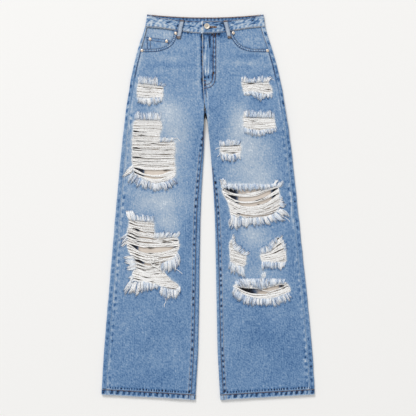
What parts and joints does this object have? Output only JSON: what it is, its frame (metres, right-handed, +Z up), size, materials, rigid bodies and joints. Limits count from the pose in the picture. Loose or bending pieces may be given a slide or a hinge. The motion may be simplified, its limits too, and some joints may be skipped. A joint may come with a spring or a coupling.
{
  "type": "ripped jeans laid flat",
  "caption": "Ripped straight-leg jeans laid flat, fronts up, with pockets, a buttoned waistband, frayed holes and hemmed legs.",
  "frame": {"origin": "middle of the laid-out jeans' bounding box, on the surface that they lie on", "axes": "+Y from the hems towards the waist, +X towards the wearer's left leg, +Z up out of the fronts"},
  "size_m": [0.5882, 1.06, 0.013],
  "materials": {
    "denim": "stone-washed mid-blue cotton twill, faded on the thighs",
    "frayed_cotton": "bare ecru weft threads and fluffy cut ends",
    "topstitch_thread": "tan, brown and orange topstitching thread",
    "button_metal": "aged pale pewter, satin",
    "rivet_metal": "worn pale copper, satin"
  },
  "bodies": {
    "root": {"front_panel_left": "denim", "front_panel_right": "denim", "back_panel_left": "denim", "back_panel_right": "denim", "back_yoke_left": "denim", "back_yoke_right": "denim", "back_pocket_left": "denim", "back_pocket_right": "denim", "pocket_facing_left": "denim", "pocket_facing_right": "denim", "coin_pocket": "denim", "waistband": "denim", "belt_loop_front_left": "denim", "belt_loop_front_right": "denim", "belt_loop_back_left": "denim", "belt_loop_back_middle": "denim", "belt_loop_back_right": "denim", "hem_front_left": "denim", "hem_front_right": "denim", "hem_back_left": "denim", "hem_back_right": "denim", "waist_button": "button_metal", "rivet_pocket_left_inner": "rivet_metal", "rivet_pocket_left_outer": "rivet_metal", "rivet_pocket_right_inner": "rivet_metal", "rivet_pocket_right_outer": "rivet_metal", "rivet_coin_inner": "rivet_metal", "rivet_coin_outer": "rivet_metal", "rip_right_thigh": "frayed_cotton", "rip_right_above_knee": "frayed_cotton", "rip_right_knee": "frayed_cotton", "rip_left_thigh": "frayed_cotton", "rip_left_above_knee": "frayed_cotton", "rip_left_inner_thigh": "frayed_cotton", "rip_left_knee": "frayed_cotton", "rip_left_inner_shin": "frayed_cotton", "rip_left_outer_shin": "frayed_cotton", "rip_left_shin": "frayed_cotton"}
  },
  "joints": []
}
